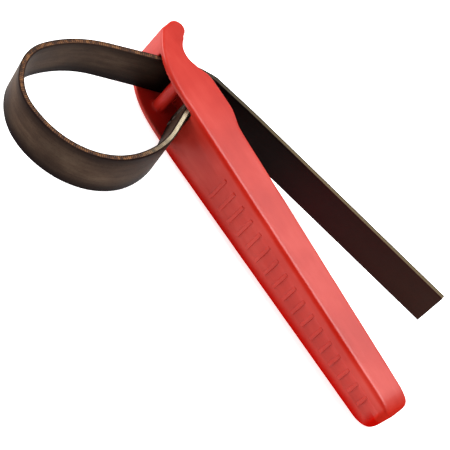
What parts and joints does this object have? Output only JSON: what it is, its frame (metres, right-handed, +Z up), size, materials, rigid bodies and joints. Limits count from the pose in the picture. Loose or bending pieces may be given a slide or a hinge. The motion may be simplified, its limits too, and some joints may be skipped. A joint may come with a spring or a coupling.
{
  "type": "strap wrench",
  "caption": "Strap wrench: tapered moulded plastic handle with a curled, forked head, and a flat strap looped in front of the head and passed behind its crossbar to a free tail.",
  "frame": {"origin": "on the flat side face of the head that the wrench lies on, level with the crossbar between the cheeks", "axes": "+X along the handle towards its butt, -Y the front, towards the loop, +Z up, across the strap's width and along the crossbar"},
  "size_m": [0.1876, 0.1309, 0.0258],
  "materials": {
    "red_plastic": "matte",
    "strap": "satin",
    "thread": "matte",
    "steel": "satin"
  },
  "bodies": {
    "handle": {"handle": "red_plastic", "anchor_pin": "steel", "strap_eye": "strap", "eye_thread": "thread", "strap_anchored_leg": "strap", "strap_running_leg": "strap", "strap_head_run": "strap", "strap_exit_bend": "strap"},
    "bight": {"strap_bight": "strap"},
    "tail": {"strap_exit_run": "strap"},
    "free_end": {"strap_free_end": "strap"}
  },
  "joints": [
    {"name": "tail_swing", "type": "hinge", "parent": "handle", "child": "tail", "pos_m": [0.00816, 0.01033, 0.0129], "axis": [0, 0, 1], "range_deg": [-20, 36], "deforming": ["strap_exit_bend"]},
    {"name": "strap_pull", "type": "slide", "parent": "tail", "child": "free_end", "axis": [0.9563, 0.2924, 0], "range_m": [-0.03, 0.05], "deforming": ["strap_exit_run"]},
    {"name": "loop_draw", "type": "slide", "parent": "handle", "child": "bight", "axis": [0, 1, 0], "range_m": [-0.015, 0.025], "deforming": ["strap_anchored_leg", "strap_running_leg"]}
  ],
  "couplings": [
    {"joint": "loop_draw", "follows": "strap_pull", "ratio": 0.5}
  ]
}
